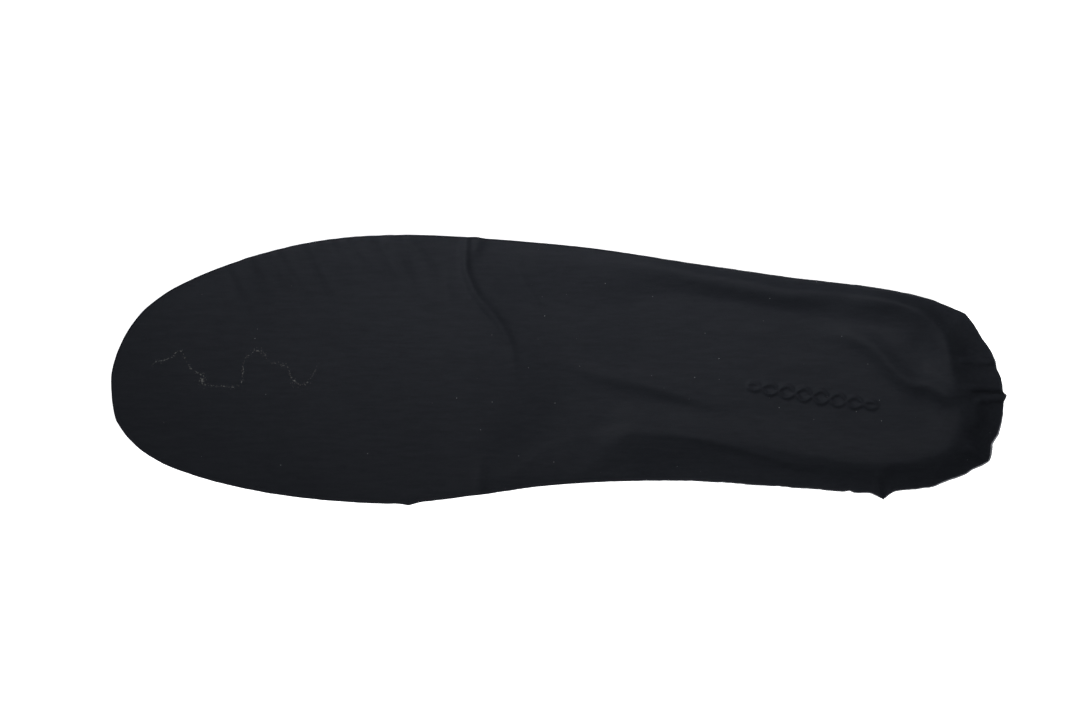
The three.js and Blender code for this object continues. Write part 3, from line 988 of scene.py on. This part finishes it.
def footbed():
    """The full-length foam: flat, but for the lip that rises under the wall beside the cookie."""
    outer = cut_line(45.5)
    depths = depth_rows(outer, [0, 0.6, 1.2, 2, 3, 4, 5, 6.5, 8, 10, 13, 17], 3)
    rows, spine = straight_down(surface(depths, cover_core), LEATHER + GLUE + BACKING + GLUE)
    under_wall = smoothstep(MARGIN, MARGIN - 1, depths)
    x, y = rows[..., 0], rows[..., 1]
    share = under_wall * (1 - cookie_share(x, y))
    lip = bed_top(x) + share * np.maximum(0, rows[..., 2] - bed_top(x))
    windows = [window_for(name) for name in ("heel_insert", "ball_insert")]
    # every second place of the edge and every third inside are enough for a flat top
    edge = rows[0, ::-2, :2]
    inside = rows[1:, ::3, :2].reshape(-1, 2)
    heights = lip[1:, ::3].ravel()
    clear = np.all([beside(inside, window, 1.04) for window in windows], axis=0)
    known = {tuple(p): z for p, z in zip(edge, lip[0, ::-2])}
    known.update({tuple(p): z for p, z in zip(inside[clear], heights[clear])})

    def top(places):
        return np.array([known.get(tuple(p), bed_top(p[0])) for p in places])

    slots = [foam("footbed_foam", (0.020, 0.021, 0.024), (0.036, 0.037, 0.042), 0.6)]
    return plate("footbed_foam", [edge, *windows], inside[clear], top, CLOTH_TOP + GLUE, 0.15,
                 slots)


def bottom_cloth():
    """The lining, with its heel window."""
    depths = depth_rows(cut_line(57.5), [0, 2, 5, 9, 14], 2)
    rows = surface(depths, lambda x, y, depth, ray: 0 * x)[0]
    window = window_for("heel_insert")
    inside = rows[1:, ::6, :2].reshape(-1, 2)
    clear = beside(inside, window, 1.05)
    return plate("lining", [rows[0, ::-2, :2], window], inside[clear],
                 lambda places: np.full(len(places), CLOTH_TOP), 0.0, 0.05, [lining_cloth()])


# ---- the soft inserts ----
def nubs(x, y):
    """A close-packed field of round nubs, from 0 between them to 1 on top."""
    pitch = 3.6
    k = 4 * math.pi / (math.sqrt(3) * pitch)
    turns = (0, math.pi / 3, -math.pi / 3)
    waves = [np.cos(k * (x * math.cos(a) + y * math.sin(a))) for a in turns]
    return (sum(waves) + 1.5) / 4.5  # the sum goes from -1.5 to 3


def insert(name, node_name, slots, relief=0.0):
    """An elliptical plug with rounded edges. relief is how deep its nubbed underside goes."""
    low, high = (np.array(corner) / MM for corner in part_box(node_name))
    centre, half = (low + high) / 2, (high - low) / 2
    fillet, hub, around = 0.6, 0.5, 220
    turn = np.linspace(0, 2 * math.pi, around, endpoint=False)
    arc = np.linspace(0, math.pi / 2, 5)[1:]
    rings_across = 42 if relief else 8
    flats = np.linspace(half[1] - hub, fillet, rings_across)
    bend = [(fillet * (1 - math.sin(a)), fillet * (1 - math.cos(a))) for a in arc]
    profile = [(inset, low[2]) for inset in flats]
    profile += [(inset, low[2] + up) for inset, up in bend]
    profile += [(up, high[2] - inset) for inset, up in bend]
    profile += [(inset, high[2]) for inset in flats[::-1][1::2]]
    rings = []
    for inset, height in profile:
        x = centre[0] + (half[0] - inset) * np.cos(turn)
        y = centre[1] + (half[1] - inset) * np.sin(turn)
        # the nubs start inside a plain border, on the underside only
        field = smoothstep(1.4, 2.6, inset) * (height == low[2])
        rings.append(np.column_stack([x, y, height + relief * field * (1 - nubs(x, y))]))
    rows = len(rings)
    faces = []
    index = np.arange(around)
    following = np.roll(index, -1)
    for k in range(rows - 1):
        a, b = k * around, (k + 1) * around
        faces += np.column_stack([a + index, a + following, b + following, b + index]).tolist()
    hubs = [ring.mean(axis=0) for ring in (rings[0], rings[-1])]  # each end's middle point
    low_hub, high_hub = rows * around, rows * around + 1
    top_ring = (rows - 1) * around
    faces += [[low_hub, int(n), int(j)] for j, n in zip(index, following)]
    faces += [[high_hub, top_ring + int(j), top_ring + int(n)] for j, n in zip(index, following)]
    return new_piece(name, np.vstack([*rings, hubs]), faces, slots, sharp=60)


# ---- camera and light ----
def place_camera():
    """A long lens straight above, with the toe to the left."""
    camera = add_object("camera", bpy.data.cameras.new("camera"))
    camera.data.lens = 400
    camera.data.sensor_width = 36
    width, height = 0.36, 0.010  # of the view, and of the plane where it is that wide
    distance = width * camera.data.lens / camera.data.sensor_width
    camera.location = (-0.00583, 0.0032, height + distance)
    camera.data.clip_end = 20
    bpy.context.scene.camera = camera


def softbox(name, place, aim, size, power, beam=180):
    """A rectangular lamp. beam is in degrees."""
    light = bpy.data.lights.new(name, "AREA")
    light.shape = "RECTANGLE"
    light.size, light.size_y = size
    light.energy = power
    light.spread = math.radians(beam)
    box = add_object(name, light)
    box.location = place
    box.rotation_euler = (Vector(aim) - Vector(place)).to_track_quat("-Z", "Y").to_euler()


def light_scene():
    """A key that rakes in from the heel and the arch side, a weak fill and a pale surround."""
    softbox("key", (0.62, -0.40, 1.32), (-0.06, 0.46, 0), (0.5, 0.5), 4.05, beam=25)
    softbox("fill", (-0.5, 0.9, 1.2), (0, 0, 0), (1.2, 0.8), 0.15)
    world = bpy.data.worlds.new("studio")
    world.use_nodes = True
    background = world.node_tree.nodes["Background"]
    feed(world.node_tree, background, {"Color": (0.9, 0.95, 1, 1), "Strength": 0.19})
    bpy.context.scene.world = world
    bpy.context.scene.view_settings.view_transform = "Standard"


def make_floor():
    """A white ground that glows just enough to stay white under the soft light."""
    made, tree, shader = material("pale_floor")
    feed(tree, shader, {"Base Color": (0.9, 0.9, 0.9, 1), "Roughness": 0.9,
                        "Emission Color": (1, 1, 1, 1), "Emission Strength": 1.15})
    half, low = 2500, -0.3  # low keeps it from coinciding with the lining's underside
    corners = [(-half, -half, low), (half, -half, low), (half, half, low), (-half, half, low)]
    new_piece("floor", corners, [(0, 1, 2, 3)], [made])


place_camera()
light_scene()
make_floor()


# ---- the pieces ----
def stands_for(piece, node_name):
    """The piece, carried by the one body and shown in place of a node."""
    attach(piece, "root")
    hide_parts(node_name)
    return piece


cover = stands_for(leather_cover(), "top_cover")

backing = stands_for(backing_layer(), "cover_backing")

pad = stands_for(comfort_pad(), "comfort_pad")

cookie = stands_for(arch_cookie(), "arch_cookie")

bed = stands_for(footbed(), "footbed")

gel_slots = [gel()]
heel_gel = insert("heel_gel", "heel_insert", gel_slots, relief=0.9)
stands_for(heel_gel, "heel_insert")

ball_gel = insert("ball_gel", "ball_insert", gel_slots)
stands_for(ball_gel, "ball_insert")

cloth = stands_for(bottom_cloth(), "bottom_cloth")
